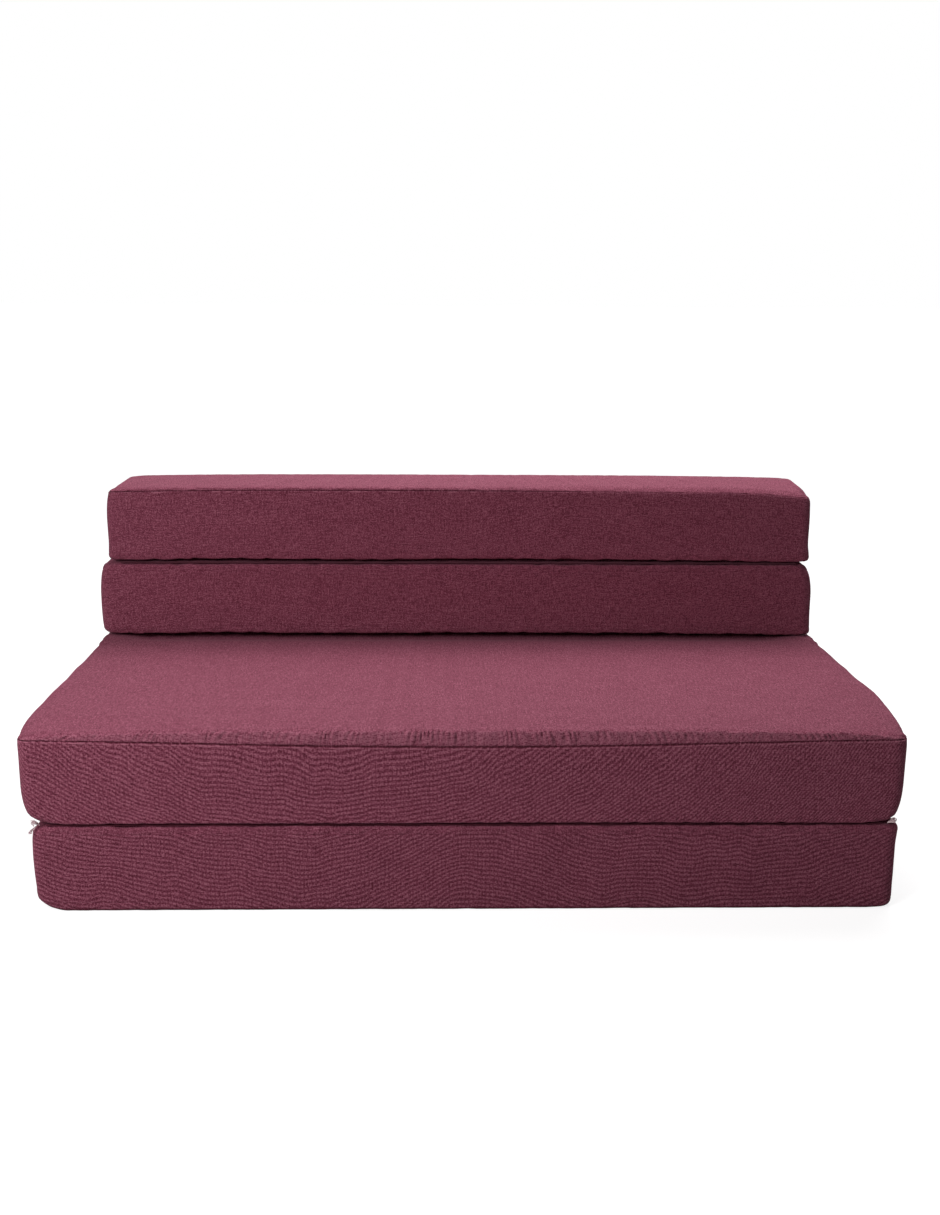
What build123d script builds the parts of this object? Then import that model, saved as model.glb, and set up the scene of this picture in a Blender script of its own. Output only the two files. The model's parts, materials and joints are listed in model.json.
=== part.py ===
from build123d import *

import os

# A folding futon mattress: four foam blocks in sewn cloth covers, hinged with cloth so that a flat bed folds up
# into a low sofa. The base lies on the floor, the seat is folded on top of it, and two shallow blocks stacked on
# the rear of the seat are the backrest. X runs from side to side, the front faces -Y, and Z is up. The origin is on
# the floor under the middle of the base.

# Driving dimensions of the mattress, in millimetres
mattress_width = 1372.0  # side to side, a full-size bed
seat_depth = 780.0  # front to back of the base and of the seat
back_depth = 172.5  # front to back of each backrest block
block_height = 143.0  # thickness of every block
corner_radius = 30.0  # upright corners of a block
edge_radius = 10.0  # edges round the top and the bottom of a block

# Cover
cloth = 1.2  # thickness of the woven cover cloth
seam_below_edge = 4.0  # from the end of the rounded edge to the seam of the top or bottom panel
foam_clearance = 0.3  # from the foam to the cloth round it

# Cloth hinges
hinge_clearance = 0.3  # from a hinge strip to the block above it and to the block below it
fold_clearance = 0.6  # between two blocks that stand face to face once a fold is opened
strip_depth = 32.0  # how far a hinge strip reaches between the two blocks
roll_radius = 1.5  # rolled edge of a hinge strip, on the fold's axis
thread_end_length = 12.0  # overlocked tail of sewing thread at each end of the front fold
thread_end_tip = 0.5  # radius of that tail at its tip

# Zip at the back of every block, sunk in a cloth-lined slot so that two blocks can meet over it
zip_panel_inset = 20.0  # from the upright corner's curve to the end of the zip panel
zip_slot_inset = 24.0  # from the end of the zip panel to the end of its slot
zip_slot_height = 22.0
zip_sink = 0.8  # from the back of the block to the slider's bridge
tape_thickness = 0.8
tape_gap = 0.6  # between the two tapes, under the coil
coil_radius = 2.0
coil_flat = 0.3  # how much of the coil's round is flattened against the tapes
stop_length = 3.0
stop_width = 5.0
stop_height = 3.2

# Zip slider and its pull
slider_clearance = 0.25  # from the slider to the coil, the tapes, the stops and the pull
slider_length = 11.0
slider_roof = 1.0  # metal over the coil
slider_cheek = 2.0  # metal beside the coil
slider_corner = 2.5
bridge_length = 8.0
bridge_width = 2.4
bridge_bar = 1.0  # thickness of the bar that the pull hangs on, and of the posts under it
pin_radius = 0.6
pull_arm = 1.1  # width of each of the two arms beside the bridge
pull_thickness = 1.0
pull_length = 27.0  # from the pin to the tip
pull_hole_radius = 1.6

# What follows from those sizes
seam_depth = edge_radius + seam_below_edge
block_gap = cloth + 2 * hinge_clearance
block_pitch = block_height + block_gap
front_face = -seat_depth / 2
rear_face = seat_depth / 2
back_front_face = rear_face - back_depth
strip_length = mattress_width - 2 * corner_radius
zip_panel_length = strip_length - 2 * zip_panel_inset
zip_slot_length = zip_panel_length - 2 * zip_slot_inset
stop_place = zip_slot_length / 2 - pull_length - stop_length
chain_length = 2 * stop_place - stop_length
slider_place = (chain_length - slider_length) / 2 - slider_clearance
coil_centre = coil_radius - coil_flat
tunnel_radius = coil_radius + slider_clearance
slider_width = 2 * (tunnel_radius + slider_cheek)
slider_top = coil_centre + tunnel_radius + slider_roof
eye_height = max(2 * pin_radius, pull_thickness) + 2 * slider_clearance
pin_height = slider_top + eye_height / 2
bridge_height = eye_height + bridge_bar
pull_width = bridge_width + 2 * (slider_clearance + pull_arm)
zip_depth = slider_top + bridge_height + zip_sink

# Each block: its name, its depth, its middle from front to back, and its underside
BLOCKS = [
    ("base", seat_depth, 0.0, 0.0),
    ("seat", seat_depth, 0.0, block_pitch),
    ("lower_back", back_depth, rear_face - back_depth / 2, 2 * block_pitch),
    ("upper_back", back_depth, rear_face - back_depth / 2, 3 * block_pitch),
]

ON_FLOOR = (Align.CENTER, Align.CENTER, Align.MIN)
FROM_PIN = (Align.MIN, Align.CENTER, Align.CENTER)


# One block, drawn about the middle of its underside
def soft_block(depth, inset):
    """The soft box of a block, made smaller all round by inset."""
    size = (mattress_width - 2 * inset, depth - 2 * inset, block_height - 2 * inset)
    box = Box(*size, align=ON_FLOOR)
    box = fillet(box.edges().filter_by(Axis.Z), corner_radius - inset)
    box = fillet(box.faces().filter_by(Axis.Z).edges(), edge_radius - inset)
    return Pos(0, 0, inset) * box


def layer(bottom, top):
    """A slab larger than any block, from one height to another."""
    size = 2 * mattress_width
    return Pos(0, 0, bottom) * Box(size, size, top - bottom, align=ON_FLOOR)


def zip_box(depth, length, near, far, height):
    """A box about the zip's line, from near to far in front of the block's back face."""
    middle = depth / 2 - (near + far) / 2
    return Pos(0, middle, block_height / 2) * Box(length, far - near, height)


def foam(depth):
    """Foam core, with the groove that the sunk zip presses into it."""
    lining = 2 * (cloth + foam_clearance)
    groove_depth = zip_depth + tape_thickness + foam_clearance
    groove = zip_box(depth, zip_slot_length + lining, 0, groove_depth, zip_slot_height + lining)
    return soft_block(depth, cloth + foam_clearance) - groove


def cover_panels(depth):
    """Top panel, bottom panel, and the border round the front and the sides."""
    shell = soft_block(depth, 0) - soft_block(depth, cloth)
    ring = shell & layer(seam_depth, block_height - seam_depth)
    zip_panel_gap = zip_box(depth, zip_panel_length, -cloth, 2 * cloth, block_height)
    return {
        "cover_top": shell & layer(block_height - seam_depth, block_height),
        "cover_border": ring - zip_panel_gap,
        "cover_bottom": shell & layer(0, seam_depth),
    }


def zip_panel(depth):
    """The back stretch of the border, with a slot whose hem is turned in down to the zip."""
    sheet = zip_box(depth, zip_panel_length, 0, cloth, block_height - 2 * seam_depth)
    hem = zip_box(depth, zip_slot_length + 2 * cloth, 0, zip_depth, zip_slot_height + 2 * cloth)
    return sheet + hem - zip_box(depth, zip_slot_length, 0, zip_depth, zip_slot_height)


# The zip, drawn with the tapes' outer face at y = 0 and the slider's travel along x
def zip_tapes():
    width = zip_slot_height / 2 + cloth - tape_gap / 2
    tape = Box(zip_slot_length + 2 * cloth, tape_thickness, width)
    middle = (tape_gap + width) / 2
    return [Pos(0, -tape_thickness / 2, side * middle) * tape for side in (1, -1)]


def zip_coil():
    bar = Pos(0, coil_centre, 0) * Rot(0, 90, 0) * Cylinder(coil_radius, chain_length)
    under_tapes = Pos(0, -coil_radius, 0) * Box(2 * chain_length, 2 * coil_radius, 4 * coil_radius)
    return bar - under_tapes


def zip_stops():
    stop = Pos(0, stop_height / 2, 0) * Box(stop_length, stop_height, stop_width)
    return [Pos(side * stop_place, 0, 0) * stop for side in (1, -1)]


def zip_slider():
    """A saddle over the coil, with a bridge on its back for the pull."""
    body_height = slider_top - slider_clearance
    body = Pos(0, slider_top - body_height / 2, 0) * Box(slider_length, body_height, slider_width)
    body = fillet(body.edges().filter_by(Axis.Y), slider_corner)
    tunnel = Pos(0, coil_centre, 0) * Rot(0, 90, 0) * Cylinder(tunnel_radius, 2 * slider_length)
    bridge = Pos(0, slider_top + bridge_height / 2, 0) * Box(bridge_length, bridge_height, bridge_width)
    bridge = fillet(bridge.faces().sort_by(Axis.Y)[-1].edges().filter_by(Axis.Z), bridge_bar)
    eye = Pos(0, pin_height, 0) * Box(bridge_length - 2 * bridge_bar, eye_height, 2 * bridge_width)
    return body - tunnel + bridge - eye


def zip_pull():
    """A flat tab with a holed round tip, on two arms and a pin through the slider's bridge."""
    tab_start = bridge_length / 2 + slider_clearance
    tab_end = pull_length - pull_width / 2
    pin = Cylinder(pin_radius, pull_width)
    arm = Box(tab_start, pull_thickness, pull_arm, align=FROM_PIN)
    arm_place = (pull_width - pull_arm) / 2
    arms = Pos(0, 0, arm_place) * arm + Pos(0, 0, -arm_place) * arm
    tab = Pos(tab_start, 0, 0) * Box(tab_end - tab_start, pull_thickness, pull_width, align=FROM_PIN)
    at_tip = Pos(tab_end, 0, 0) * Rot(90, 0, 0)
    tip = at_tip * Cylinder(pull_width / 2, pull_thickness)
    hole = at_tip * Cylinder(pull_hole_radius, 2 * pull_thickness)
    return Pos(0, pin_height, 0) * (pin + arms + tab + tip - hole)


# A cloth hinge lies on the block below, with its rolled edge on the fold's axis
def hinge_strip(face, inward, underside):
    """A strip sewn in at a face of the blocks, reaching inward (1 towards the back, -1 towards the front)."""
    axis_place = face - inward * fold_clearance / 2
    axis_height = underside - block_gap / 2
    leaf_middle = axis_place + inward * strip_depth / 2
    leaf = Pos(0, leaf_middle, axis_height) * Box(strip_length, strip_depth, cloth)
    roll = Pos(0, axis_place, axis_height) * Rot(0, 90, 0) * Cylinder(roll_radius, strip_length)
    return leaf + roll


def thread_ends(face, underside):
    """The tails of sewing thread that stick out at both ends of a rolled edge."""
    tail = Cone(roll_radius, thread_end_tip, thread_end_length, align=ON_FLOOR)
    place = Pos(0, face - fold_clearance / 2, underside - block_gap / 2)
    return [place * Pos(side * strip_length / 2, 0, 0) * Rot(0, side * 90, 0) * tail for side in (1, -1)]


def block_pieces(depth):
    """Every piece of one block, as a list of solids for each name."""
    zip_line = Pos(0, depth / 2 - zip_depth, block_height / 2)
    slider_line = zip_line * Pos(-slider_place, 0, 0)
    return {
        "foam": [foam(depth)],
        **{name: [panel] for name, panel in cover_panels(depth).items()},
        "zip_panel": [zip_panel(depth)],
        "zip_tapes": [zip_line * tape for tape in zip_tapes()],
        "zip_coil": [zip_line * zip_coil()],
        "zip_stops": [zip_line * stop for stop in zip_stops()],
        "zip_slider": [slider_line * zip_slider()],
        "zip_pull": [slider_line * zip_pull()],
    }


def assembly():
    """Every sub-part by name, in its place with the mattress folded as a sofa."""
    parts = {
        "front_hinge_strip": [hinge_strip(front_face, 1, block_pitch)],
        "rear_hinge_strip": [hinge_strip(rear_face, -1, 2 * block_pitch)],
        "back_hinge_strip": [hinge_strip(back_front_face, 1, 3 * block_pitch)],
        "front_hinge_thread_ends": thread_ends(front_face, block_pitch),
    }
    for block, depth, middle, underside in BLOCKS:
        place = Pos(0, middle, underside)
        for piece, solids in block_pieces(depth).items():
            parts[f"{block}_{piece}"] = [place * solid for solid in solids]
    return parts


os.makedirs("parts", exist_ok=True)
for node, solids in assembly().items():
    shape = solids[0] if len(solids) == 1 else Compound(children=solids)
    export_step(shape, f"parts/{node}.step")
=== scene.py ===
import json
import math

import bmesh
import bpy
import numpy as np
from mathutils import Matrix, Vector


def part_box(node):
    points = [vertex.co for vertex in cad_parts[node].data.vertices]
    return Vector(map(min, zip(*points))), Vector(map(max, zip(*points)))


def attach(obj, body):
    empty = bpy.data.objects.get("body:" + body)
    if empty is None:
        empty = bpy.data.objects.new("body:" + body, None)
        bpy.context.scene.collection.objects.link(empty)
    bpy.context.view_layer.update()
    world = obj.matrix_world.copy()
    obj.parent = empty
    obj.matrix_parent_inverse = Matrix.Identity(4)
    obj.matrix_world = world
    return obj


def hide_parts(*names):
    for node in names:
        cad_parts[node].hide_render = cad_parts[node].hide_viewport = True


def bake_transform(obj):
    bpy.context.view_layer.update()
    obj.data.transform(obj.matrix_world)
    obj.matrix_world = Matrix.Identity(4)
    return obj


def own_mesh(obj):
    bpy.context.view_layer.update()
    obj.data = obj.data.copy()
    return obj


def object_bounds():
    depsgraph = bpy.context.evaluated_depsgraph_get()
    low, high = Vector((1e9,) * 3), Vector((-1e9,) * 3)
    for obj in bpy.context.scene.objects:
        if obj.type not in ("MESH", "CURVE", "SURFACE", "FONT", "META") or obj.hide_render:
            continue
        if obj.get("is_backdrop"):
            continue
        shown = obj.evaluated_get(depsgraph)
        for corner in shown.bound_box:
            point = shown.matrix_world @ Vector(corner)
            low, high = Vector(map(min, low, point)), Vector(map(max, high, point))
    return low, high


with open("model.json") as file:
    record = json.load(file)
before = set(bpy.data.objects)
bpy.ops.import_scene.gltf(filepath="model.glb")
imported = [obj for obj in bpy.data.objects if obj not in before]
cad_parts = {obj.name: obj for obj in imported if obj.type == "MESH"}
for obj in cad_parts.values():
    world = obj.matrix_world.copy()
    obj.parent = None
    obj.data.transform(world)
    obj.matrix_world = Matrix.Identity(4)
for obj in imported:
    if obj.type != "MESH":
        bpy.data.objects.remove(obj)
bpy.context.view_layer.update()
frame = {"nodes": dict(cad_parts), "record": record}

# Foam blocks
# Each block is sawn from cream open-cell polyurethane foam and pushed into its cover, which rounds its edges.
# The soft sides bow out, most of all the seat's, and the tops of the seat and the upper back are crowned.
mm = 0.001
blocks = ("base", "seat", "lower_back", "upper_back")
foam_inset = np.array([10, 13, 10]) * mm  # from the outside of the cover to the foam, along X, Y and Z
foam_corner = 22 * mm
foam_edge = 7 * mm
foam_cell = 1.6 * mm
foam_patches = 14.0  # paler and darker patches in a metre
foam_cream = (0.70, 0.58, 0.36, 1)
foam_shadow = (0.42, 0.32, 0.17, 1)
# How far the left and the right side of a block stand out, in mm, at its bottom, middle and top
side_stand = {
    "base": ((-5, 3, -5), (2.5, 5, 5)),
    "seat": ((-2.5, 10.5, 10), (-5, 7, 7.7)),
    "lower_back": ((14, 19, 6.5), (11, 10, -10)),
    "upper_back": ((-1, -1, -14), (1, -0.5, -9)),
}
# Where the seat's left and right side bow out more, in mm: how far, the bow's middle along Y, and its reach
seat_bows = (
    ((13, -240, 120), (8, -20, 130), (5, 215, 60)),
    ((18.5, -190, 120), (13, 20, 150), (5, 215, 60)),
)
# Where, from front to back, the flat rear starts, on which only the ends of a block stand out
rear_start, rear_end = 300 * mm, 360 * mm
# How far the front edge of a block lifts off the block below, and how deep the gap reaches, in mm
front_lift = {"base": (0, 40), "seat": (2, 40), "lower_back": (4.5, 60), "upper_back": (5.5, 80)}
lift_wave = 150 * mm
# How high a top is crowned, in mm, at its ends and how much more in its middle, and from which level up
crowns = {
    "base": (0, 0, 0.5),
    "seat": (4, 8, 0.5),
    "lower_back": (0, 0, 0.5),
    "upper_back": (1.5, 5, 0.4),
}
# The seat's crown falls to the rear in two slopes: its share of the height, and its start and end in mm
crown_slopes = ((0.4, -120, 40), (0.6, -360, -120))
# Where the front of the backrest presses the seat down, in mm: how far, its middle along Y, and its reach
seat_press = (9, 229, 28)
corner_droop = 6  # how far the crown of the upper back droops at its front right corner, in mm
band_back, band_reach = 2.5, 40 * mm  # how far the gathers at the seat's front lie back, in mm, and how deep
settle_depth = 1.5  # how far a block settles onto the block below, in mm
settle_start, settle_end = 48 * mm, 90 * mm  # where it does, from the cloth hinge between them


def add_node(tree, kind, values=None, **settings):
    """Adds a shader node, sets its options, and sets or links its inputs by name or number."""
    made = tree.nodes.new("ShaderNode" + kind)
    for option, value in settings.items():
        setattr(made, option, value)
    for socket, value in (values or {}).items():
        if isinstance(value, bpy.types.NodeSocket):
            tree.links.new(value, made.inputs[socket])
        else:
            made.inputs[socket].default_value = value
    return made


def calculate(tree, operation, first, second=0.0, third=0.0):
    """One step of arithmetic."""
    return add_node(tree, "Math", {0: first, 1: second, 2: third}, operation=operation).outputs[0]


def noise(tree, place, scale, detail):
    """Soft noise between 0 and 1, with about so many grains in a metre."""
    return add_node(tree, "TexNoise", {"Vector": place, "Scale": scale, "Detail": detail}).outputs[0]


def new_material(name, roughness, specular):
    """A new material, its node tree, and its shader with the two values that every finish sets."""
    material = bpy.data.materials.new(name)
    material.use_nodes = True
    shader = material.node_tree.nodes["Principled BSDF"]
    shader.inputs["Roughness"].default_value = roughness
    shader.inputs["Specular IOR Level"].default_value = specular
    return material, material.node_tree, shader


def paint(tree, shader, tone, *stops):
    """Colours the shader by a tone, between the stops, each a tone and its colour."""
    ramp = add_node(tree, "ValToRGB", {0: tone})
    places = ramp.color_ramp.elements
    while len(places) < len(stops):
        places.new(0.5)
    for place, (position, colour) in zip(places, stops):
        place.position, place.color = position, colour
    tree.links.new(ramp.outputs[0], shader.inputs["Base Color"])


def emboss(tree, shader, height, strength, depth):
    """Gives the shader relief from a height between 0 and 1, so deep in metres."""
    bump = add_node(tree, "Bump", {"Height": height, "Strength": strength, "Distance": depth})
    tree.links.new(bump.outputs[0], shader.inputs["Normal"])


def read_points(mesh):
    """The places of a mesh's points, one row each."""
    points = np.empty(len(mesh.vertices) * 3, np.float32)
    mesh.vertices.foreach_get("co", points)
    return points.reshape(-1, 3).astype(float)


def write_points(mesh, points):
    """Moves a mesh's points to the given places."""
    mesh.vertices.foreach_set("co", points.astype(np.float32).ravel())
    mesh.update()


def gridded_box(name, knots, cells):
    """A box whose six sides are cut into a grid: between each two knots of an axis, so many cells."""
    bpy.ops.object.select_all(action="DESELECT")
    bpy.ops.mesh.primitive_cube_add(size=1, location=(0.5, 0.5, 0.5))
    bpy.ops.object.transform_apply(location=True)
    box = bpy.context.object
    box.name = box.data.name = name
    bpy.ops.object.mode_set(mode="EDIT")
    bpy.ops.mesh.select_mode(type="EDGE")
    most_cells = 100  # that Blender cuts at once, so a longer row is cut into quarters first
    for axis in range(3):
        count = sum(cells[axis])
        for parts in (count,) if count <= most_cells else (4, count // 4):
            bpy.ops.mesh.select_all(action="DESELECT")
            grid = bmesh.from_edit_mesh(box.data)
            for edge in grid.edges:
                if abs(edge.verts[0].co[axis] - edge.verts[1].co[axis]) > 1e-6:
                    edge.select_set(True)
            bmesh.update_edit_mesh(box.data)
            bpy.ops.mesh.subdivide(number_cuts=parts - 1)
    bpy.ops.object.mode_set(mode="OBJECT")
    points = read_points(box.data)
    for axis in range(3):
        lines = np.concatenate([[0], np.cumsum(cells[axis])]) / sum(cells[axis])
        points[:, axis] = np.interp(points[:, axis], lines, knots[axis])
    write_points(box.data, points)
    return box


def rounded(points, low, high, corner, top_edge, bottom_edge):
    """Rounds a gridded box: its upright corners first, and then its top and bottom edges."""
    middle, half = (low + high) / 2, (high - low) / 2
    place = points - middle
    core = np.clip(place[:, :2], -(half[:2] - corner), half[:2] - corner)
    out = place[:, :2] - core
    length = np.maximum(np.linalg.norm(out, axis=1), 1e-9)
    inset = corner - np.abs(out).max(axis=1)
    height = place[:, 2].copy()
    for side, radius in ((1, top_edge), (-1, bottom_edge)):
        into, down = radius - inset, radius - (half[2] - side * height)
        near = (into > 0) & (down > 0)
        scale = np.where(near, radius / np.maximum(np.hypot(into, down), 1e-9), 1)
        inset = np.where(near, radius - into * scale, inset)
        height = np.where(near, side * (half[2] - radius + down * scale), height)
    turned = core + out / length[:, None] * (corner - inset)[:, None]
    return np.column_stack([turned, height]) + middle


def hump(value, middle, reach):
    """A soft hump of height 1."""
    return np.exp(-(((value - middle) / reach) ** 2))


def ease(value, start, end):
    """From 0 at start to 1 at end, smoothly."""
    share = np.clip((value - start) / (end - start), 0, 1)
    return share * share * (3 - 2 * share)


def uneven(places, pitch, seed):
    """Uneven waves between -1 and 1 over one or two measures, about one in every two pitches."""
    count, row_step = 4096, 131
    heights = np.random.default_rng(seed).uniform(-1, 1, count)
    steps = [np.asarray(place) / pitch for place in places]
    cells = [np.floor(step).astype(int) for step in steps]
    shares = [ease(step - cell, 0, 1) for step, cell in zip(steps, cells)]
    total = 0
    for corner in range(2 ** len(steps)):
        weight, index = 1, 0
        for number, (cell, share) in enumerate(zip(cells, shares)):
            upper = corner >> number & 1
            weight = weight * (share if upper else 1 - share)
            index = index * row_step + cell + upper
        total = total + weight * heights[index % count]
    return total


def block_box(block):
    """The lowest and the highest corner of a block in its cover."""
    return np.array(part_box(f"{block}_cover_bottom")[0]), np.array(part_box(f"{block}_cover_top")[1])


def settled(block, y, low, high):
    """How far a block has settled onto the block below, away from the cloth hinge between them."""
    from_hinge = high[1] - y if block == "lower_back" else y - low[1]
    return (block != "base") * settle_depth * mm * ease(from_hinge, settle_start, settle_end)


def sides_out(block, x, y, level, far):
    """How far the sides of a filled block stand out along X, in mm."""
    to_side = far ** 2 + (ease(np.abs(far), 0.9, 1) - far ** 2) * ease(y, rear_start, rear_end)
    out = np.zeros_like(x)
    for side, (bottom, middle, top), bows in zip((-1, 1), side_stand[block], seat_bows):
        stand = middle + (np.where(level < 0.5, bottom, top) - middle) * np.abs(2 * level - 1) ** 3
        if block == "seat":
            bow = sum(size * hump(y / mm, bow_middle, reach) for size, bow_middle, reach in bows)
            stand = stand + bow * ease(level, 0, 0.3)
        out += np.where(x * side > 0, side * stand * to_side, 0)
    return out


def top_up(block, y, level, far, low, high):
    """How far the crowned top of a filled block stands up, in mm."""
    at_ends, more, crown_level = crowns[block]
    crown = at_ends + more * (1 - far ** 4)
    if block == "seat":
        crown = crown * sum(share * (1 - ease(y / mm, start, end)) for share, start, end in crown_slopes)
        deep, press_middle, reach = seat_press
        crown = crown - deep * hump(y / mm, press_middle, reach) * (1 - ease(np.abs(far), 0.86, 0.97))
    if block == "upper_back":
        crown = crown - corner_droop * ease(far, 0.8, 1) * (1 - ease(y, low[1], high[1]))
    return crown * ease(level, crown_level, 1)


def stand_out(block, place, low, high):
    """How far each point of a filled block stands away from the plain box."""
    x, y, z = place.T
    level = (z - low[2]) / (high[2] - low[2])
    far = x / high[0]
    lift, lift_reach = front_lift[block]
    lift = lift * (1 - 0.6 * far ** 4 + 0.3 * uneven((x,), lift_wave, seed=5))
    lift = lift * (1 - ease(y, low[1], low[1] + lift_reach * mm)) * (1 - ease(level, 0, 0.4))
    push = np.zeros_like(place)
    push[:, 0] = sides_out(block, x, y, level, far) * mm
    push[:, 2] = (lift + top_up(block, y, level, far, low, high)) * mm
    push[:, 2] -= settled(block, y, low, high) * (1 - ease(level, 0, 0.25))
    if block == "seat":
        push[:, 1] = band_back * ease(level, 0.75, 0.95) * (1 - ease(y, low[1], low[1] + band_reach)) * mm
    return push


foam, tree, shader = new_material("cream_foam", roughness=0.95, specular=0.1)
place = add_node(tree, "TexCoord").outputs["Object"]
cells = add_node(tree, "TexVoronoi", {"Vector": place, "Scale": 1 / foam_cell}, feature="SMOOTH_F1")
patches = noise(tree, place, scale=foam_patches, detail=3.0)
pores = calculate(tree, "MULTIPLY_ADD", cells.outputs["Distance"], 0.55, patches)
paint(tree, shader, pores, (0.35, foam_shadow), (0.85, foam_cream))
emboss(tree, shader, cells.outputs["Distance"], strength=0.6, depth=0.5 * mm)

for block in blocks:
    block_low, block_high = block_box(block)
    low, high = block_low + foam_inset, block_high - foam_inset
    knots = [(near, near + foam_corner, far - foam_corner, far) for near, far in zip(low, high)]
    cells_back = 26 if block in ("base", "seat") else 5
    core = gridded_box(f"{block}_foam_core", knots, ((4, 50, 4), (4, cells_back, 4), (4, 4, 4)))
    flat = read_points(core.data)
    points = rounded(flat, low, high, foam_corner, foam_edge, foam_edge)
    write_points(core.data, points + stand_out(block, flat, block_low, block_high))
    core.data.materials.append(foam)
    bpy.ops.object.shade_smooth()
    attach(core, block)
    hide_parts(f"{block}_foam")

# Block covers
# Each cover is sewn from plum polyester, flat-woven of heathered yarn: a top and a bottom panel, and a border
# with a zip slot at the back. The panels are cut a little full, gathered into the seams and filled with foam.
cover_corner = 20 * mm
seam_depth = 14 * mm  # from the top or the bottom of a block to the seam of that panel
swell_room = np.array([3, 0.8, 0.6]) * mm  # left free along X, Y and Z for the cloth to swell into
swell_most = 4 * mm
swell_steps = 12  # frames of the cloth simulation
slot_end, slot_side = 612 * mm, 11 * mm  # half the length and half the height of the zip slot
slot_lip = 1.2 * mm
slot_depth = 10 * mm
# Radius of the top and of the bottom edges, in mm: in the middle, at the left end and at the right end
edge_round = {
    "base": ((2, 12, 8), (2, 28, 9)),
    "seat": ((5, 6, 6), (2, 20, 16)),
    "lower_back": ((4, 7, 7), (5, 13, 7)),
    "upper_back": ((5, 11, 6), (6, 10, 10)),
}
end_reach = 50 * mm  # how far from its ends a block's edges take on the radius of that end
seat_rounder, upper_back_rounder = 9 * mm, 14 * mm  # added to the top edge's radius at the front corners
# How deep the top seam lies along the front, in mm: at the ends, and how much more in the middle
front_seam = {"base": (14, 0), "seat": (6, 20), "lower_back": (14, 0), "upper_back": (6, 0)}
front_seam_run = 150 * mm  # how far it takes along a side to come back to the seam's own depth
front_seam_reach = 60 * mm  # how far down the border the cloth is shifted with it
# Depth in mm to which the top and the bottom seam are drawn in along the front
seam_marks = {
    "base": (0.4, 0.6),
    "seat": (2.6, 0.4),
    "lower_back": (0.4, 0.4),
    "upper_back": (2.6, 0.4),
}
# Extra cloth gathered into the top and the bottom seam, as a share
gathers = {
    "base": (0.03, 0.005),
    "seat": (0.06, 0.03),
    "lower_back": (0.03, 0.03),
    "upper_back": (0.02, 0.03),
}
# Depth of the pleats at the top and at the bottom seam, along the front and elsewhere, and their pitch, in mm
pleat_sizes = {
    "base": ((0.8, 0.8, 18), (0, 0, 18)),
    "seat": ((5.5, 1.2, 10), (0.5, 0.5, 18)),
    "lower_back": ((0.7, 0.7, 16), (0.5, 0.7, 16)),
    "upper_back": ((1.0, 0.4, 9), (0.7, 0.7, 16)),
}
pleat_lean, lean_reach = 0.7, 150 * mm  # how much the pleats slant, and how far off the middle they do
pleat_height = 9 * mm
pleat_start = 4 * mm  # how far past its seam the cloth is gathered in full
mark_fade = 30 * mm  # how far behind the front face a seam's mark grows weaker
dash_pitch = 7 * mm  # between the places where the border's edge stands proud of the seam
# Depth in mm of the wide dents and of the narrow upright creases in a border
dent_depths = {
    "base": (1.2, 1.6),
    "seat": (0.9, 0.4),
    "lower_back": (0.9, 0.4),
    "upper_back": (1.8, 0.9),
}
# Cells of a cover's grid: along the zip slot, from front to back between the corners, and from bottom to top
length_cells = {"base": 156, "seat": 300, "lower_back": 156, "upper_back": 156}
depth_cells = {"base": (12,), "seat": (10, 14, 2), "lower_back": (5,), "upper_back": (5,)}
height_cells = (1, 2, 3, 2, 2, 1, 1, 3, 1, 1, 2, 3, 6, 3, 1)
end_cells, corner_cells = 11, 8  # from the slot to the ends, and at the corners in front and behind
corner_zone, edge_zone = 48 * mm, 3 * mm
press_zone = (160 * mm, 290 * mm)  # where the seat's grid is finer, under the front of the backrest
yarn = 1.25 * mm
plum_dark = (0.100, 0.017, 0.032, 1)
plum_mid = (0.240, 0.054, 0.093, 1)
plum_pale = (0.430, 0.145, 0.205, 1)
plum_sheen = (0.9, 0.42, 0.54, 1)
sheen_weight, sheen_roughness = 0.14, 0.5
plain_tone = -0.65  # to which the yarn, its flecks and the ribs add
rib_pitch = 7.6 * mm  # the weave lies unevenly on the borders, and its ribs show there as faint curving lines
tick_pitch = 6.4 * mm
rib_waves = ((10 * mm, 70 * mm, 0.3), (4 * mm, 24 * mm, 0.5))  # height, pitch and change upwards
rib_drift, drift_pitch = 70 * mm, 240 * mm
seat_rib_middle, seat_rib_bow = -220 * mm, 0.8  # the seat's ribs bow up about this place along its front
border_ribs = {"base": 0.88, "seat": 0.88, "lower_back": 0.1, "upper_back": 0.1}  # how much the ribs show
panel_ribs = 0.12


def grain(tree, place, wide, tall, detail=2.0):
    """Noise whose grains are so wide and so tall, in metres."""
    scaled = add_node(tree, "VectorMath", {0: place, 1: (1 / wide, 1 / tall, 1 / tall)}, operation="MULTIPLY")
    return noise(tree, scaled.outputs[0], scale=1.0, detail=detail)


def wave(tree, place, pitch):
    """A sine of a length, with the given pitch."""
    return calculate(tree, "SINE", calculate(tree, "MULTIPLY", place, 2 * math.pi / pitch))


def attribute(tree, name):
    """A number that the mesh keeps for each of its points."""
    return add_node(tree, "Attribute", attribute_name=name).outputs["Fac"]


def write_attribute(mesh, name, values):
    """Keeps a number for each point of a mesh."""
    mesh.attributes.new(name, "FLOAT", "POINT").data.foreach_set("value", values.astype(np.float32))


def read_loops(mesh):
    """Which point each corner of each face is."""
    loops = np.empty(len(mesh.loops), np.int32)
    mesh.loops.foreach_get("vertex_index", loops)
    return loops


def shaped_points(piece):
    """Where the points of a piece lie with its modifiers at work."""
    return read_points(piece.evaluated_get(bpy.context.evaluated_depsgraph_get()).data)


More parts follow.
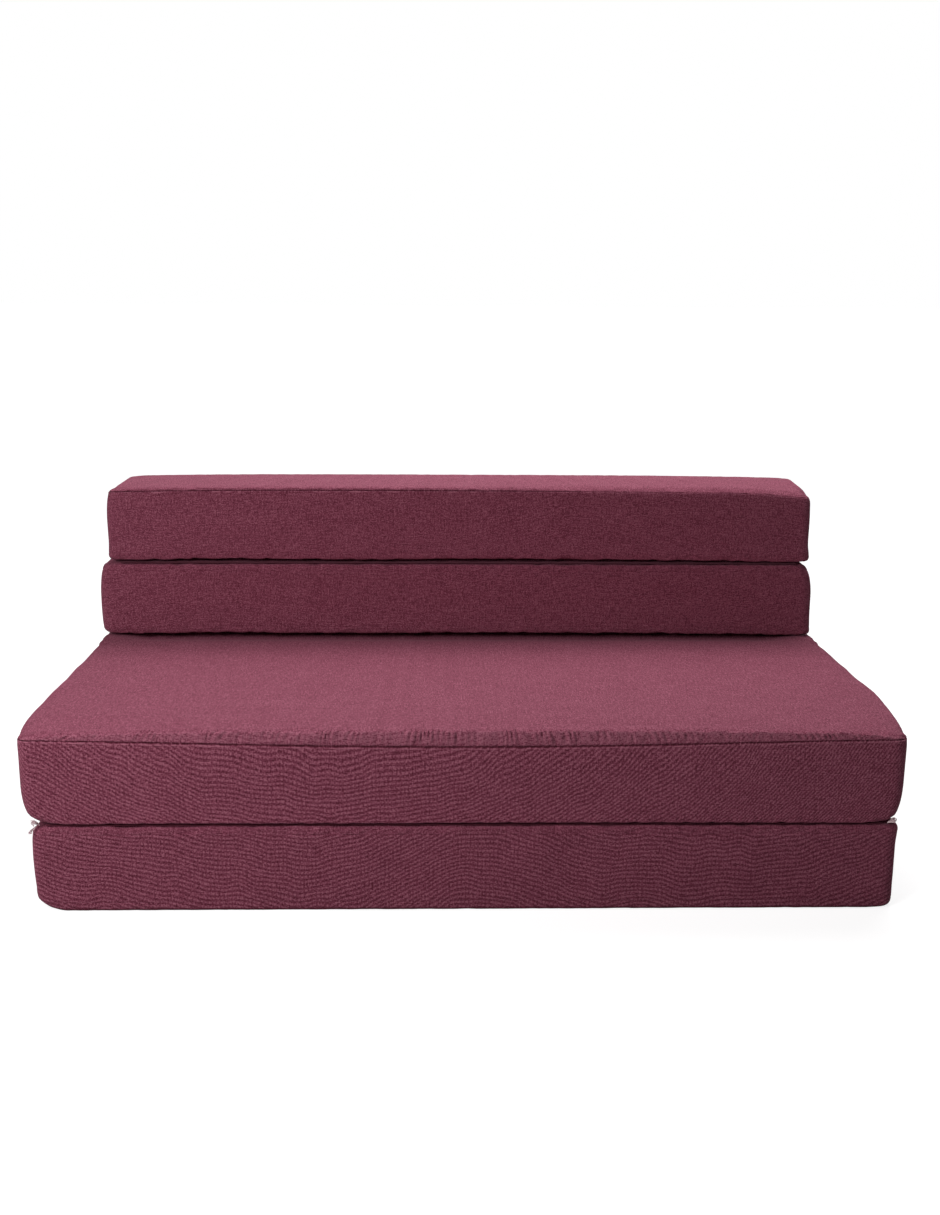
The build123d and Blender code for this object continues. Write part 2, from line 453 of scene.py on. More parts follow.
def refined(cover, points):
    """Where the points of the cover's finer mesh lie, with its grid in the given places."""
    write_points(cover.data, points)
    return shaped_points(cover)


def cover_grid(block, low, high):
    """The cover before it is shaped: a box whose grid lines lie close at its corners, seams and zip slot."""
    lips = np.array([0, slot_lip, 2 * slot_lip])
    slot_ends = np.concatenate([-(slot_end + lips[::-1]), slot_end + lips])
    slot_sides = np.concatenate([-(slot_side + lips[::-1]), slot_side + lips])
    seam = np.array([0, edge_zone, seam_depth - edge_zone, seam_depth + edge_zone, 2.4 * seam_depth])
    inner = press_zone if block == "seat" else ()
    knots = (
        (low[0], low[0] + edge_zone, *slot_ends, high[0] - edge_zone, high[0]),
        (low[1], low[1] + edge_zone, low[1] + corner_zone, *inner,
         high[1] - corner_zone, high[1] - edge_zone, high[1]),
        (*(low[2] + seam), *((low[2] + high[2]) / 2 + slot_sides), *(high[2] - seam[::-1])),
    )
    cells = (
        (1, end_cells, 1, 1, length_cells[block], 1, 1, end_cells, 1),
        (1, corner_cells, *depth_cells[block], corner_cells, 1),
        height_cells,
    )
    return gridded_box(f"{block}_cover", knots, cells)


def past_seams(flat, low, high):
    """How far each point lies past the top seam, going up, and past the bottom seam, going down."""
    inset = np.concatenate([flat[:, :2] - low[:2], high[:2] - flat[:, :2]], axis=1).min(axis=1)
    upper = flat[:, 2] > (low[2] + high[2]) / 2
    past_top = seam_depth + inset * upper - (high[2] - flat[:, 2])
    past_bottom = seam_depth + inset * ~upper - (flat[:, 2] - low[2])
    return past_top, past_bottom


def seam_moved(block, flat, low, high):
    """The grid with its top seam in place: the seat's sags in front, the upper back's is at the top edge."""
    at_ends, sag = front_seam[block]
    front = (at_ends + sag * (1 - (flat[:, 0] / high[0]) ** 2)) * mm
    wanted = front + (seam_depth - front) * ease(flat[:, 1], low[1], low[1] + front_seam_run)
    down = high[2] - flat[:, 2]
    above = down * wanted / seam_depth
    below = wanted + (down - seam_depth) * (front_seam_reach - wanted) / (front_seam_reach - seam_depth)
    below = np.where(down < front_seam_reach, below, down)
    moved = flat.copy()
    moved[:, 2] = high[2] - np.where(down < seam_depth, above, below)
    return moved


def near_zip(flat, low, high, half_height):
    """Which points of the rear face lie within half a height of the zip's line."""
    on_rear = flat[:, 1] > high[1] - 0.01 * mm
    return on_rear & (np.abs(flat[:, 2] - (low[2] + high[2]) / 2) < half_height)


def in_slot(flat, low, high):
    """Which points lie in the zip slot."""
    spare = 0.1 * mm
    return near_zip(flat, low, high, slot_side + spare) & (np.abs(flat[:, 0]) < slot_end + spare)


def edge_radii(block, flat, low, high):
    """Radius of the top edge and of the bottom edge of a block, at each point."""
    to_left, to_right = (ease(side * flat[:, 0], high[0] - end_reach, high[0]) for side in (-1, 1))
    top, bottom = (
        (middle + (left - middle) * to_left + (right - middle) * to_right) * mm
        for middle, left, right in edge_round[block]
    )
    front_start, front_end = low[1] + 30 * mm, low[1] + 70 * mm
    right_start, right_end = -100 * mm, 400 * mm
    in_front = 1 - ease(flat[:, 1], front_start, front_end)
    if block == "seat":
        top += seat_rounder * in_front * (to_left + to_right)
    if block == "upper_back":
        top += upper_back_rounder * in_front * ease(flat[:, 0], right_start, right_end)
    return top, bottom


def filled(cover, flat, low, high, gather):
    """How far the foam swells the cover: the seams hold, and the full-cut cloth beside them puckers."""
    start = read_points(cover.data)
    seams = past_seams(flat, low, high)
    front_start, front_end = low[1] + 20 * mm, low[1] + 80 * mm
    fade_start, fade_end = 12 * mm, 42 * mm
    seam_half_width, zip_half_height = 1.6 * mm, 3 * slot_side
    foam_hold = 0.32
    in_front = 0.25 + 0.75 * (1 - ease(flat[:, 1], front_start, front_end))
    extra = np.zeros(len(flat))
    for past, share in zip(seams, gather):
        beside = ease(past, 0, pleat_start) * (1 - ease(past, fade_start, fade_end))
        extra = np.maximum(extra, share * beside * in_front)
    slack = extra / max(gather)
    hold = np.where(near_zip(flat, low, high, zip_half_height), 1, foam_hold * (1 - 0.9 * slack))
    for past in seams:
        hold = np.maximum(hold, np.abs(past) < seam_half_width)
    for name, weights in (("held", hold), ("snug", 1 - slack)):
        group = cover.vertex_groups.new(name=name)
        for point, weight in enumerate(weights):
            group.add([point], float(weight), "REPLACE")
    soft = cover.modifiers.new("filled", "CLOTH")
    settings = soft.settings
    settings.quality = 4
    settings.mass = 0.3
    settings.tension_stiffness = settings.compression_stiffness = 15
    settings.shear_stiffness = 5
    settings.bending_stiffness = 0.5
    settings.effector_weights.gravity = 0
    settings.use_pressure = True
    settings.uniform_pressure_force = 4
    settings.vertex_group_mass = "held"
    settings.vertex_group_shrink = "snug"
    settings.shrink_min, settings.shrink_max = -max(gather), 0
    for step in range(swell_steps):
        bpy.context.scene.frame_set(step + 1)
    moved = shaped_points(cover) - start
    bpy.context.scene.frame_set(1)
    cover.modifiers.remove(soft)
    cover.vertex_groups.clear()
    length = np.maximum(np.linalg.norm(moved, axis=1, keepdims=True), 1e-9)
    return moved / length * swell_most * np.tanh(length / swell_most)


def seam_shows(block, x):
    """How much of the top seam's mark shows: on the upper back it fades towards the right end."""
    fade_start, fade_end = 0, 400 * mm
    return 1 - 0.8 * ease(x, fade_start, fade_end) if block == "upper_back" else 1


def pleats(block, flat, low, high):
    """Height in mm of the slanted pleats beside the seams, and of the border's edge, proud under them."""
    corner_clear, rear_faces = 40 * mm, 250 * mm
    stray, stray_pitch, fullness_pitch = 9 * mm, 26 * mm, 22 * mm
    proud_place, proud_reach, groove_reach = -2.6 * mm, 1.2 * mm, 1.0 * mm
    x, y, _ = flat.T
    to_end = np.minimum(x - low[0], high[0] - x)
    to_face = np.minimum(y - low[1], high[1] - y)
    along = np.where(to_face < to_end, x, y)
    off_corner = ease(np.abs(to_face - to_end), 0, corner_clear)
    in_front = (to_face < to_end) & (y < rear_faces)
    lean = -pleat_lean * np.tanh(along / lean_reach)
    height = 0
    for seam, past in enumerate(past_seams(flat, low, high)):
        main, rest, pitch = pleat_sizes[block][seam]
        size = np.where(in_front, main, rest) * off_corner
        place = along + stray * uneven((along,), stray_pitch, seed=50 + seam) - lean * past
        folds = np.abs(np.sin(math.pi * place / (pitch * mm))) ** 0.8 - 0.45
        folds = folds * (0.5 + 0.5 * uneven((along,), fullness_pitch, seed=60 + seam))
        height = height + size * folds * hump(past, seam_depth, pleat_height) * ease(past, 0, pleat_start)
        mark = seam_marks[block][seam] * (1 - 0.5 * ease(y, low[1], low[1] + mark_fade))
        mark = mark * seam_shows(block, x)
        proud = 0.25 + 0.5 * np.maximum(uneven((along,), dash_pitch, seed=70 + seam), 0)
        height = height + mark * (proud * hump(past, proud_place, proud_reach) - hump(past, 0, groove_reach))
    return height


def dents(block, flat, low, high):
    """Height in mm of the soft dents in the borders."""
    wall_start, wall_end = 12 * mm, 40 * mm
    dent_pitch, crease_pitch = 140 * mm, 55 * mm
    x, _, z = flat.T
    on_wall = ease(np.minimum(z - low[2], high[2] - z), wall_start, wall_end)
    seed = 80 + blocks.index(block)
    wide = uneven((x, z), dent_pitch, seed)
    narrow = uneven((x, 0.4 * z), crease_pitch, seed + 10)
    deep, creased = dent_depths[block]
    return on_wall * (deep * (wide - 0.8) + creased * narrow)


def sew(cover, block, flat, low, high):
    """Draws the seams in, pleats and dents the cloth, flattens it between blocks, and sinks the zip slot."""
    crown_room, crown_fade, crown_end = 20 * mm, -20 * mm, 40 * mm
    points = read_points(cover.data)
    normals = np.empty(len(points) * 3, np.float32)
    cover.data.vertices.foreach_get("normal", normals)
    height = pleats(block, flat, low, high) + dents(block, flat, low, high)
    points += normals.reshape(-1, 3) * height[:, None] * mm
    crowned = {"seat": 1 - ease(flat[:, 1], crown_fade, crown_end), "upper_back": 1}.get(block, 0)
    lowest = low[2] - settled(block, flat[:, 1], low, high)
    points[:, 1] = np.clip(points[:, 1], low[1], high[1])
    points[:, 2] = np.clip(points[:, 2], lowest, high[2] + crown_room * crowned)
    points[in_slot(flat, low, high), 1] = high[1] - slot_depth
    write_points(cover.data, points)


def lay_pattern(mesh, flat, cut, low, high):
    """Lays the cloth's flat pattern on the panels, and round the turned-in hem of the zip slot."""
    loops = read_loops(mesh)
    still = np.repeat(np.ptp(flat[loops].reshape(-1, 4, 3), axis=1).argmin(axis=1), 4)
    turned_in = in_slot(flat, low, high) * np.sign(flat[:, 2] - (low[2] + high[2]) / 2) * slot_depth
    x, y, z = (cut - np.outer(turned_in, (0, 0, 1)))[loops].T
    pattern = np.column_stack([np.where(still == 0, y, x), np.where(still == 2, y, z)])
    mesh.uv_layers.new(name="cloth").data.foreach_set("uv", pattern.astype(np.float32).ravel())


def rib_lines(block, flat, cut, low, high):
    """The height that the weave's ribs run along, which wavers round the block."""
    x, y, z = flat.T
    around = x * (1 + (y - low[1]) / high[0])
    seed = 11 + blocks.index(block)
    waves = 0
    for number, (height, pitch, share) in enumerate(rib_waves):
        waves = waves + height * uneven((around, share * z), pitch, seed + 20 * number)
    if block == "seat":
        return cut[:, 2] + waves - seat_rib_bow * (x - seat_rib_middle) ** 2
    return cut[:, 2] + waves + rib_drift * uneven((around,), drift_pitch, seed)


def rib_shares(block, flat, low, high):
    """How much the ribs show: on the borders of the base and the seat, and hardly elsewhere."""
    wall_start = 3 * mm
    on_wall = ease(np.minimum(flat[:, 2] - low[2], high[2] - flat[:, 2]), 0, wall_start)
    past = past_seams(flat, low, high)[0]
    on_borders = border_ribs[block] * (1 - 0.6 * ease(past, 0, wall_start))
    return panel_ribs + on_wall * on_borders


def painted_light_tones(block, flat, low, high):
    """Painted light on the cloth: painted highlights in the gathers and beside the top seam, painted shade in
    it and underneath.
    """
    highlight_place, highlight_reach, shade_reach = -2.4 * mm, 0.9 * mm, 0.8 * mm
    highlight_least, highlight_most, shade_most = 0.35 if block == "seat" else 0, 0.6, 0.34
    full_mark = 3.4
    band_fade, band_end, band_painted_light = 16 * mm, 26 * mm, 0.12
    under_edge, under_end, under_painted_shade = 2.5 * mm, 5.5 * mm, 0.35
    x, y, z = flat.T
    past = past_seams(flat, low, high)[0]
    dashes = np.maximum(uneven((x,), dash_pitch, seed=70), highlight_least)
    # Painted highlight in dashes just below the top seam, and painted shade in the seam's groove
    tones = highlight_most * dashes * hump(past, highlight_place, highlight_reach) - shade_most * hump(past, 0, shade_reach)
    tones *= seam_marks[block][0] / full_mark * (1 - 0.6 * ease(y, low[1], low[1] + mark_fade))
    # Painted highlight on the seat's gathered band along its front
    if block == "seat":
        gathered = ease(past, 0, pleat_start) * (1 - ease(past, band_fade, band_end))
        tones += band_painted_light * gathered * (y < low[1] + 2 * mm)
    # Painted shade along the bottom edge of the base
    if block == "base":
        tones -= under_painted_shade * (1 - ease(z, under_edge, under_end))
    return tones * seam_shows(block, x)


cloth, tree, shader = new_material("plum_cloth", roughness=0.9, specular=0.12)
pattern = add_node(tree, "UVMap", uv_map="cloth").outputs[0]
across, along, _ = add_node(tree, "SeparateXYZ", {0: pattern}).outputs
over = calculate(tree, "MULTIPLY", wave(tree, across, 2 * yarn), wave(tree, along, 2 * yarn))
warp_on_top = calculate(tree, "MULTIPLY_ADD", over, 0.5, 0.5)
warp_tone = grain(tree, pattern, wide=1.1 * yarn, tall=14 * yarn)
weft_tone = grain(tree, pattern, wide=14 * yarn, tall=1.1 * yarn)
yarn_tone = add_node(tree, "Mix", {0: warp_on_top, 2: warp_tone, 3: weft_tone}).outputs[0]
heather = grain(tree, pattern, wide=2.4 * mm, tall=2.0 * mm, detail=3.0)
slubs = grain(tree, pattern, wide=5 * mm, tall=8 * mm)
mottle = grain(tree, pattern, wide=60 * mm, tall=36 * mm, detail=3.0)
ticks = wave(tree, across, tick_pitch)
dashes = calculate(tree, "MULTIPLY_ADD", ticks, 0.35, 0.8)
lines = calculate(tree, "MULTIPLY", wave(tree, attribute(tree, "rib_line"), rib_pitch), dashes)
ribs = calculate(tree, "MULTIPLY_ADD", ticks, 0.18, lines)
ribs = calculate(tree, "MULTIPLY", ribs, attribute(tree, "rib_share"))
# The attribute carries painted highlights and painted shade from the seams and the hinge folds
tone = calculate(tree, "ADD", attribute(tree, "painted_light_tone"), plain_tone)
tone_shares = ((yarn_tone, 0.8), (heather, 1.1), (slubs, 0.3), (mottle, 0.1), (ribs, 0.13), (over, 0.03))
for part, share in tone_shares:
    tone = calculate(tree, "MULTIPLY_ADD", part, share, tone)
paint(tree, shader, tone, (0.28, plum_dark), (0.5, plum_mid), (0.74, plum_pale))
relief = calculate(tree, "MULTIPLY_ADD", ribs, 0.5, over)
relief = calculate(tree, "MULTIPLY_ADD", yarn_tone, 1.4, relief)
emboss(tree, shader, relief, strength=0.4, depth=0.4 * mm)
shader.inputs["Sheen Weight"].default_value = sheen_weight
shader.inputs["Sheen Roughness"].default_value = sheen_roughness
shader.inputs["Sheen Tint"].default_value = plum_sheen

for block in blocks:
    low, high = block_box(block)
    middle = (low + high) / 2
    cover = cover_grid(block, low, high)
    flat = read_points(cover.data)
    cut = seam_moved(block, flat, low, high)
    points = rounded(cut, low, high, cover_corner, *edge_radii(block, flat, low, high))
    points = middle + (points - middle) * (1 - swell_room / (high - middle))
    write_points(cover.data, points)
    points = points + filled(cover, flat, low, high, gathers[block])
    points = points + stand_out(block, flat, low, high)
    finer = cover.modifiers.new("finer", "SUBSURF")
    finer.levels = finer.render_levels = 1
    flat, cut, _ = (refined(cover, places) for places in (flat, cut, points))
    bpy.ops.object.modifier_apply(modifier="finer")
    sew(cover, block, flat, low, high)
    lay_pattern(cover.data, flat, cut, low, high)
    write_attribute(cover.data, "rib_line", rib_lines(block, flat, cut, low, high))
    write_attribute(cover.data, "rib_share", rib_shares(block, flat, low, high))
    # Painted highlights and painted shade beside and in the seams
    write_attribute(cover.data, "painted_light_tone", painted_light_tones(block, flat, low, high))
    cover.data.materials.append(cloth)
    bpy.ops.object.shade_smooth_by_angle(angle=math.radians(60))
    panels = ("cover_top", "cover_border", "cover_bottom", "zip_panel")
    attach(cover, block)
    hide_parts(*[f"{block}_{panel}" for panel in panels])
    if block == "upper_back":
        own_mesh(cover)

# Zips
# A coil zip is sewn behind the slot of each cover: two woven tapes, a nylon coil on their edges, and a cast
# slider with its pull and two end stops. A row of topstitching holds the hem of the slot on either side.
coil_pitch = 1.6 * mm
coil_wire = 0.36 * mm
coil_slant = math.radians(14)
stitch_pitch = 4.2 * mm
stitch_length = 3.0 * mm
stitch_wire = 0.34 * mm
stitch_from_slot = 5 * mm
twill_pitch, twill_height = 1.1 * mm, 1.6 * mm
tape_dark = (0.045, 0.012, 0.018, 1)
tape_pale = (0.105, 0.032, 0.046, 1)
coil_dark = (0.050, 0.012, 0.019, 1)
coil_pale = (0.090, 0.026, 0.038, 1)
nickel_dull = (0.24, 0.22, 0.21, 1)
nickel_bright = (0.42, 0.40, 0.38, 1)
stitch_dark = (0.16, 0.036, 0.058, 1)
stitch_pale = (0.28, 0.080, 0.118, 1)

tape, tree, shader = new_material("zip_tape", roughness=0.8, specular=0.2)
place = add_node(tree, "TexCoord").outputs["Object"]
across, _, up = add_node(tree, "SeparateXYZ", {0: place}).outputs
zigzag = calculate(tree, "PINGPONG", up, twill_height)
twill = wave(tree, calculate(tree, "ADD", across, zigzag), twill_pitch)
tone = calculate(tree, "MULTIPLY_ADD", twill, 0.25, noise(tree, place, scale=900.0, detail=2.0))
paint(tree, shader, tone, (0.3, tape_dark), (0.75, tape_pale))
emboss(tree, shader, twill, strength=0.5, depth=0.15 * mm)

nylon, tree, shader = new_material("zip_nylon", roughness=0.35, specular=0.45)
fleck = noise(tree, add_node(tree, "TexCoord").outputs["Object"], scale=500.0, detail=2.0)
paint(tree, shader, fleck, (0.35, coil_dark), (0.7, coil_pale))
emboss(tree, shader, fleck, strength=0.2, depth=0.05 * mm)

nickel, tree, shader = new_material("dull_nickel", roughness=0.38, specular=0.5)
shader.inputs["Metallic"].default_value = 1.0
place = add_node(tree, "TexCoord").outputs["Object"]
scuffs = grain(tree, place, wide=4 * mm, tall=0.5 * mm, detail=4.0)
paint(tree, shader, scuffs, (0.35, nickel_dull), (0.7, nickel_bright))
tree.links.new(calculate(tree, "MULTIPLY_ADD", scuffs, 0.35, 0.2), shader.inputs["Roughness"])
emboss(tree, shader, scuffs, strength=0.15, depth=0.05 * mm)

thread, tree, shader = new_material("plum_thread", roughness=0.6, specular=0.3)
twist = grain(tree, add_node(tree, "TexCoord").outputs["Object"], wide=0.5 * mm, tall=0.3 * mm)
paint(tree, shader, twist, (0.35, stitch_dark), (0.7, stitch_pale))
emboss(tree, shader, twist, strength=0.4, depth=0.08 * mm)


def row_of(piece, count, step):
    """Repeats a piece along X, in its own mesh."""
    row = piece.modifiers.new("row", "ARRAY")
    row.count = count
    row.use_relative_offset, row.use_constant_offset = False, True
    row.constant_offset_displace = (step, 0, 0)
    bpy.ops.object.modifier_apply(modifier="row")


def stitch_row(start, length):
    """A row of stitches along X, from a place at its left end."""
    bpy.ops.object.select_all(action="DESELECT")
    bpy.ops.mesh.primitive_uv_sphere_add(segments=6, ring_count=4, radius=1, location=start)
    stitch = bpy.context.object
    stitch.scale = (stitch_length / 2, stitch_wire, stitch_wire)
    bpy.ops.object.transform_apply(location=False, rotation=False, scale=True)
    row_of(stitch, int(length / stitch_pitch), stitch_pitch)
    return stitch


def finish_piece(piece, name, body, material):
    """Puts a modelled piece's place into its mesh, and gives it its name, material, body and slot."""
    bpy.ops.object.transform_apply(location=True, rotation=True, scale=True)
    piece.name = piece.data.name = name
    piece.data.materials.append(material)
    bpy.ops.object.shade_smooth_by_angle(angle=math.radians(50))
    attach(piece, body)


for block in blocks:
    low, high = (Vector(end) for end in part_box(f"{block}_zip_coil"))
    size = high - low
    coil_y, coil_z = (low.y + high.y) / 2, (low.z + high.z) / 2
    bpy.ops.object.select_all(action="DESELECT")
    bpy.ops.mesh.primitive_torus_add(
        major_segments=9, minor_segments=4, major_radius=size.z / 2 - coil_wire, minor_radius=coil_wire,
        location=(low.x + coil_pitch / 2, coil_y, coil_z), rotation=(0, math.pi / 2, 0))
    turn = bpy.context.object
    bpy.ops.object.transform_apply(location=False, rotation=True, scale=False)
    turn.scale = (1, size.y / size.z, 1)
    turn.rotation_euler = (0, coil_slant, 0)
    bpy.ops.object.transform_apply(location=False, rotation=True, scale=True)
    row_of(turn, int(size.x / coil_pitch), coil_pitch)
    finish_piece(turn, f"{block}_zip_coil_turns", block, nylon)
    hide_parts(f"{block}_zip_coil")

    low, high = block_box(block)
    rows = []
    for side in (-1, 1):
        row_height = (low[2] + high[2]) / 2 + side * (slot_side + stitch_from_slot)
        rows.append(stitch_row((-slot_end, high[1] - swell_room[1], row_height), 2 * slot_end))
    for row in rows:
        row.select_set(True)
    bpy.context.view_layer.objects.active = rows[0]
    bpy.ops.object.join()
    finish_piece(rows[0], f"{block}_slot_stitches", block, thread)

    finishes = {"zip_tapes": tape, "zip_stops": nickel, "zip_slider": nickel, "zip_pull": nickel}
    for part, finish in finishes.items():
        for slot in frame["nodes"][f"{block}_{part}"].material_slots:
            slot.material = finish

# Cloth hinges
# A doubled strip of the cover cloth joins each block to the next. Its fold lies just inside the crease, near
# the axis that they turn about, and one leaf is stitched to the block below and the other to the block above.
leaf_depth = 32 * mm
leaf_gap = 0.8 * mm  # from the axis up or down to a leaf
fold_gap = 0.45 * mm  # the same at the fold
fold_inset = 4 * mm
fold_reach = 14 * mm  # how far from the fold the leaves spread to their places
fold_round = 1 * mm
fold_waver, waver_pitch = 0.3 * mm, 60 * mm
strip_cloth = 0.4 * mm
strip_cells = (120, 40)
strip_ribs = 0.1
fold_painted_shade, shade_reach = 0.6, 10 * mm  # painted shade in the strip's fold: how much darker the cloth is there, and how far from the fold
stitch_from_edge = 3 * mm
# Each hinge: its fold's joint, the block below and the block above, and which way its leaves reach along Y
hinges = {
    "front_hinge": ("seat_fold", "base", "seat", 1),
    "rear_hinge": ("back_fold", "seat", "lower_back", -1),
    "back_hinge": ("upper_back_fold", "lower_back", "upper_back", 1),
}
joint_places = {joint["name"]: joint for joint in frame["record"]["behaviour"]["joints"]}


def leaf_rise(block, x, y, run):
    """How far the upper leaf of a hinge rises towards the lifted edge of the block above."""
    low, high = block_box(block)
    underside = np.column_stack([x, y, np.full_like(x, low[2])])
    return stand_out(block, underside, low, high)[:, 2] * ease(run, fold_reach, leaf_depth)


for name, (fold, below, above, inward) in hinges.items():
    low, high = (Vector(end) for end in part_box(f"{name}_strip"))
    _, axis_y, axis_z = joint_places[fold]["pos_m"]
    bpy.ops.object.select_all(action="DESELECT")
    bpy.ops.mesh.primitive_grid_add(x_subdivisions=strip_cells[0], y_subdivisions=strip_cells[1], size=1)
    strip = bpy.context.object
    strip.name = strip.data.name = f"{name}_cloth"
    points = read_points(strip.data)
    x = points[:, 0] * (high.x - low.x)
    run = points[:, 1] * 2 * leaf_depth
    waver = fold_waver * uneven((x,), waver_pitch, seed=31 + len(name))
    y = axis_y + inward * (fold_inset + waver + np.abs(run))
    opened = fold_gap + (leaf_gap - fold_gap) * ease(np.abs(run), 0, fold_reach)
    z = axis_z + opened * np.clip(run / fold_round, -1, 1) + leaf_rise(above, x, y, run)
    write_points(strip.data, np.column_stack([x, y, z]))
    pattern = np.column_stack([x, run])[read_loops(strip.data)]
    strip.data.uv_layers[0].name = "cloth"
    strip.data.uv_layers["cloth"].data.foreach_set("uv", pattern.astype(np.float32).ravel())
    write_attribute(strip.data, "rib_line", run)
    write_attribute(strip.data, "rib_share", np.full(len(run), strip_ribs))
    # Painted shade in the strip's fold, so that the crease looks dark
    write_attribute(strip.data, "painted_light_tone", -fold_painted_shade * hump(run, 0, shade_reach))
    thick = strip.modifiers.new("thick", "SOLIDIFY")
    thick.thickness, thick.offset = strip_cloth, 0
    bpy.ops.object.modifier_apply(modifier="thick")
    strip.data.materials.append(cloth)
    bpy.ops.object.shade_smooth_by_angle(angle=math.radians(60))
    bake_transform(strip)
    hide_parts(f"{name}_strip")

    row_run = leaf_depth - stitch_from_edge
    row_y = axis_y + inward * (fold_inset + row_run)
    for leaf, side, body in (("lower", -1, below), ("upper", 1, above)):
        row_z = axis_z + side * (leaf_gap - strip_cloth / 2)
        row = stitch_row((low.x + stitch_pitch, row_y, row_z), high.x - low.x - stitch_pitch)
        finish_piece(row, f"{name}_{leaf}_stitches", body, thread)
        if leaf == "upper":
            points = read_points(row.data)
            points[:, 2] += leaf_rise(above, points[:, 0], points[:, 1], row_run)
            write_points(row.data, points)

# Thread ends
# The front hinge was overlocked with pale thread, whose cut ends were left long. They have frayed, and curl
# out in loose tangles at both ends of the crease.
strand_wire = 0.5 * mm
strand_points = 14
tail_length = 12 * mm  # of the CAD thread end, from its root to its tip
root_behind, heart_behind = 9 * mm, 2 * mm  # how far back a tangle's root and its middle lie in the crease
# Each tangle: its side, its place out from the thread's root and up from the crease, its size, its strands
tangles = (
    (-1, 18 * mm, 7 * mm, 6 * mm, 10),
    (-1, 25 * mm, -9 * mm, 4 * mm, 6),
    (1, 18 * mm, 8 * mm, 6 * mm, 10),
)
thread_pale = (0.86, 0.70, 0.72, 1)
thread_shadow = (0.58, 0.36, 0.40, 1)

fray, tree, shader = new_material("pale_thread", roughness=0.7, specular=0.2)
twist = grain(tree, add_node(tree, "TexCoord").outputs["Object"], wide=0.7 * mm, tall=0.5 * mm)
paint(tree, shader, twist, (0.3, thread_shadow), (0.6, thread_pale))
emboss(tree, shader, twist, strength=0.4, depth=0.1 * mm)

low, high = (np.array(end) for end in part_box("front_hinge_thread_ends"))
crease = (low[2] + high[2]) / 2
chance = np.random.default_rng(5)
frayed = bpy.data.curves.new("front_hinge_threads", "CURVE")
frayed.dimensions = "3D"
frayed.bevel_depth = strand_wire
frayed.bevel_resolution = 1
frayed.resolution_u = 3
frayed.use_fill_caps = True
for side, out, up, size, strands in tangles:
    root_x = high[0] - tail_length
    root = np.array([side * (root_x + 0.6 * out), low[1] + root_behind, crease])
    heart = np.array([side * (root_x + out), low[1] + heart_behind, crease + up])
    for _ in range(strands):
        spline = frayed.splines.new("NURBS")
        spline.points.add(strand_points - 1)
        turns, start = chance.uniform(0.8, 2.2), chance.uniform(0, 2 * math.pi)
        reach = size * chance.uniform(-0.8, 0.8, 3) * np.array([1, 0.5, 1])
        curl = size * chance.uniform(0.2, 0.5)
        for number, point in enumerate(spline.points):
            share = number / (strand_points - 1)
            angle = start + turns * 2 * math.pi * share
            loop = np.array([math.cos(angle), 0.5 * math.sin(2 * angle), math.sin(angle)])
            loose = heart + loop * curl + reach * (2 * share - 1)
            point.co = (*(root + (loose - root) * min(1, 3 * share)), 1)
        spline.order_u = 3
        spline.use_endpoint_u = True
tuft = bpy.data.objects.new("front_hinge_threads", frayed)
bpy.context.scene.collection.objects.link(tuft)
bpy.ops.object.select_all(action="DESELECT")
tuft.select_set(True)
bpy.context.view_layer.objects.active = tuft
bpy.ops.object.convert(target="MESH")
tuft = bpy.context.object
finish_piece(tuft, "front_hinge_threads", "base", fray)
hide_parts("front_hinge_thread_ends")

# Floor and background
# The mattress lies on a white ground that runs into a white room, with no horizon. The ground is a matt grey
# that takes the shadow, with a white glow for what looks at it, a little weaker near the mattress.
floor_size = 60
floor_grey = (0.5, 0.5, 0.5, 1)
glow_near, glow_far = (1.2, 0.82), (3.0, 1.0)  # distance from the middle in metres, and the glow there
room_light = 0.02  # the room's light on the mattress, where white is 1


def looked_at(tree):
    """1 for what the camera sees, in a mirror and through glass too, and 0 for the light on other things."""
    rays = add_node(tree, "LightPath").outputs
    seen = calculate(tree, "MAXIMUM", rays["Is Camera Ray"], rays["Is Glossy Ray"])
    return calculate(tree, "MAXIMUM", seen, rays["Is Transmission Ray"])


bpy.ops.object.select_all(action="DESELECT")
bpy.ops.mesh.primitive_plane_add(size=floor_size)
floor = bpy.context.object
floor.name = "floor"
ground, tree, shader = new_material("white_ground", roughness=0.9, specular=0.1)
shader.inputs["Base Color"].default_value = floor_grey
place = add_node(tree, "TexCoord").outputs["Object"]
away = add_node(tree, "VectorMath", {0: place}, operation="LENGTH").outputs["Value"]
spread = {"Value": away, 1: glow_near[0], 2: glow_far[0], 3: glow_near[1], 4: glow_far[1]}
white = add_node(tree, "MapRange", spread).outputs[0]
glow = add_node(tree, "Emission", {"Strength": calculate(tree, "MULTIPLY", looked_at(tree), white)})
both = add_node(tree, "AddShader", {0: shader.outputs[0], 1: glow.outputs[0]})
tree.links.new(both.outputs[0], tree.nodes["Material Output"].inputs["Surface"])
floor.data.materials.append(ground)
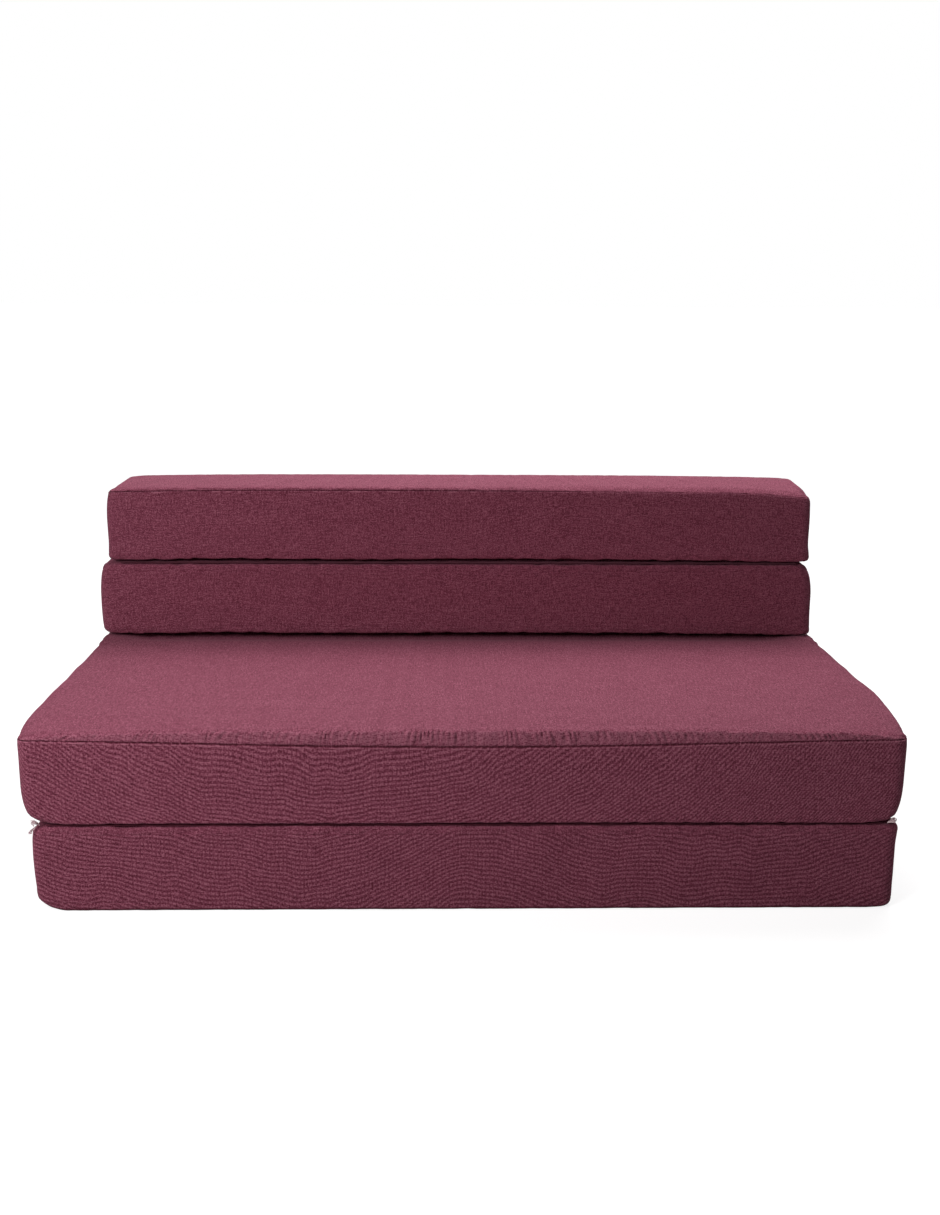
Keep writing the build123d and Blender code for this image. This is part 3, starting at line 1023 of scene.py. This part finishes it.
floor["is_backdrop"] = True

world = bpy.data.worlds.new("white_room")
bpy.context.scene.world = world
world.use_nodes = True
tree = world.node_tree
strength = calculate(tree, "MULTIPLY_ADD", looked_at(tree), 1 - room_light, room_light)
tree.links.new(strength, tree.nodes["Background"].inputs["Strength"])
tree.nodes["Background"].inputs["Color"].default_value = (1, 1, 1, 1)

# Studio light
# Wide soft boxes overhead and behind light the tops, and a smaller one high at the front left fades across
# the fronts. Each has its place, the place it points to, its width and height in metres, and its watts.
soft_boxes = {
    "overhead_box": ((0.35, 0.75, 2.4), (0.15, 0.1, 0.4), 2.4, 0.8, 37),
    "rear_box": ((0.2, 1.3, 2.2), (0.1, 0.1, 0.4), 2.4, 1.0, 14),
    "front_left_box": ((-1.35, -1.65, 1.55), (-0.28, -0.25, 0.25), 1.0, 1.0, 32),
}
for name, (place, target, width, height, power) in soft_boxes.items():
    lamp = bpy.data.lights.new(name, "AREA")
    lamp.shape = "RECTANGLE"
    lamp.size, lamp.size_y = width, height
    lamp.energy = power
    box = bpy.data.objects.new(name, lamp)
    bpy.context.scene.collection.objects.link(box)
    box.location = place
    box.rotation_euler = (Vector(target) - Vector(place)).to_track_quat("-Z", "Y").to_euler()

# Camera
# It stands a metre high in front of the mattress, looks slightly down on it, and is turned and tilted a bit.
# Its place is in metres, and its focal length is in pixels of the photograph, which is so many pixels high.
photo_height = 1215
focal_length = 1401.4
camera_place = (-0.0524, -2.4409, 1.0045)
pitch, yaw, roll = (math.radians(angle) for angle in (13.90, 1.526, 0.437))
lens = bpy.data.cameras.new("camera")
lens.lens = focal_length * lens.sensor_width / photo_height
camera = bpy.data.objects.new("camera", lens)
bpy.context.scene.collection.objects.link(camera)
aim = Matrix.Rotation(-yaw, 4, "Z") @ Matrix.Rotation(math.pi / 2 - pitch, 4, "X")
camera.matrix_world = Matrix.Translation(camera_place) @ aim @ Matrix.Rotation(roll, 4, "Z")
bpy.context.scene.camera = camera
bpy.context.scene.view_settings.view_transform = "Standard"

low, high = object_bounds()
